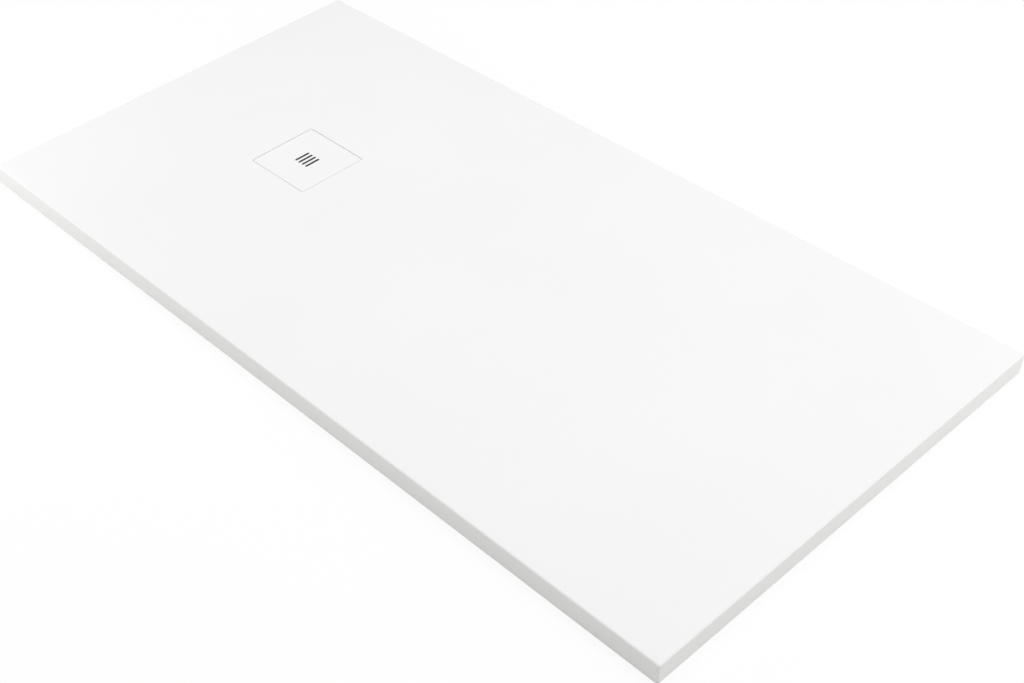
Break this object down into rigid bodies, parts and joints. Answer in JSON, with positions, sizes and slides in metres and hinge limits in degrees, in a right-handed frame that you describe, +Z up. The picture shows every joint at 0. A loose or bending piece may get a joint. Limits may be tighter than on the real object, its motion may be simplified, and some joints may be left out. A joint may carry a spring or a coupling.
{
  "type": "shower tray",
  "caption": "Low rectangular shower tray with softly rounded edges, a flush square slotted cover near one end, and the waste trap that the cover hides.",
  "frame": {"origin": "the centre of the tray's underside, which beds on the floor", "axes": "+X along the tray away from the drain end, +Y across it, +Z up; the trap hangs below z = 0"},
  "size_m": [1.5, 0.8, 0.133],
  "materials": {
    "casting": "matte",
    "cover": "matte",
    "pad_rubber": "matte",
    "flange_steel": "satin",
    "screw_steel": "satin",
    "seal_rubber": "matte",
    "washer_rubber": "satin",
    "trap_plastic": "satin",
    "dip_plastic": "satin",
    "strainer_plastic": "satin",
    "ring_plastic": "satin",
    "nut_plastic": "satin",
    "insert_brass": "satin"
  },
  "bodies": {
    "tray_set": {"tray": "casting", "waste_flange": "flange_steel", "flange_screws": "screw_steel", "upper_seal": "seal_rubber", "lower_seal": "seal_rubber", "trap_top": "trap_plastic", "brass_inserts": "insert_brass", "trap_pot": "trap_plastic", "tapered_washer": "washer_rubber", "slip_ring": "ring_plastic", "union_nut": "nut_plastic"},
    "cover": {"cover_plate": "cover", "cover_pad_1": "pad_rubber", "cover_pad_2": "pad_rubber", "cover_pad_3": "pad_rubber", "cover_pad_4": "pad_rubber"},
    "siphon": {"dip_tube": "dip_plastic", "dip_tube_o_ring": "seal_rubber"},
    "strainer": {"hair_strainer": "strainer_plastic"},
    "elbow": {"outlet_elbow": "trap_plastic"}
  },
  "joints": [
    {"name": "cover_lift", "type": "slide", "parent": "tray_set", "child": "cover", "axis": [0, 0, 1], "range_m": [0, 0.4]},
    {"name": "dip_tube_lift", "type": "slide", "parent": "tray_set", "child": "siphon", "axis": [0, 0, 1], "range_m": [0, 0.16]},
    {"name": "strainer_lift", "type": "slide", "parent": "siphon", "child": "strainer", "axis": [0, 0, 1], "range_m": [0, 0.12]},
    {"name": "outlet_swivel", "type": "hinge", "parent": "tray_set", "child": "elbow", "pos_m": [-0.375, 0, -0.036], "axis": [-1, 0, 0], "range_deg": [0, 180]}
  ],
  "couplings": [
    {"joint": "dip_tube_lift", "follows": "cover_lift", "ratio": 0.4},
    {"joint": "strainer_lift", "follows": "cover_lift", "ratio": 0.3}
  ]
}
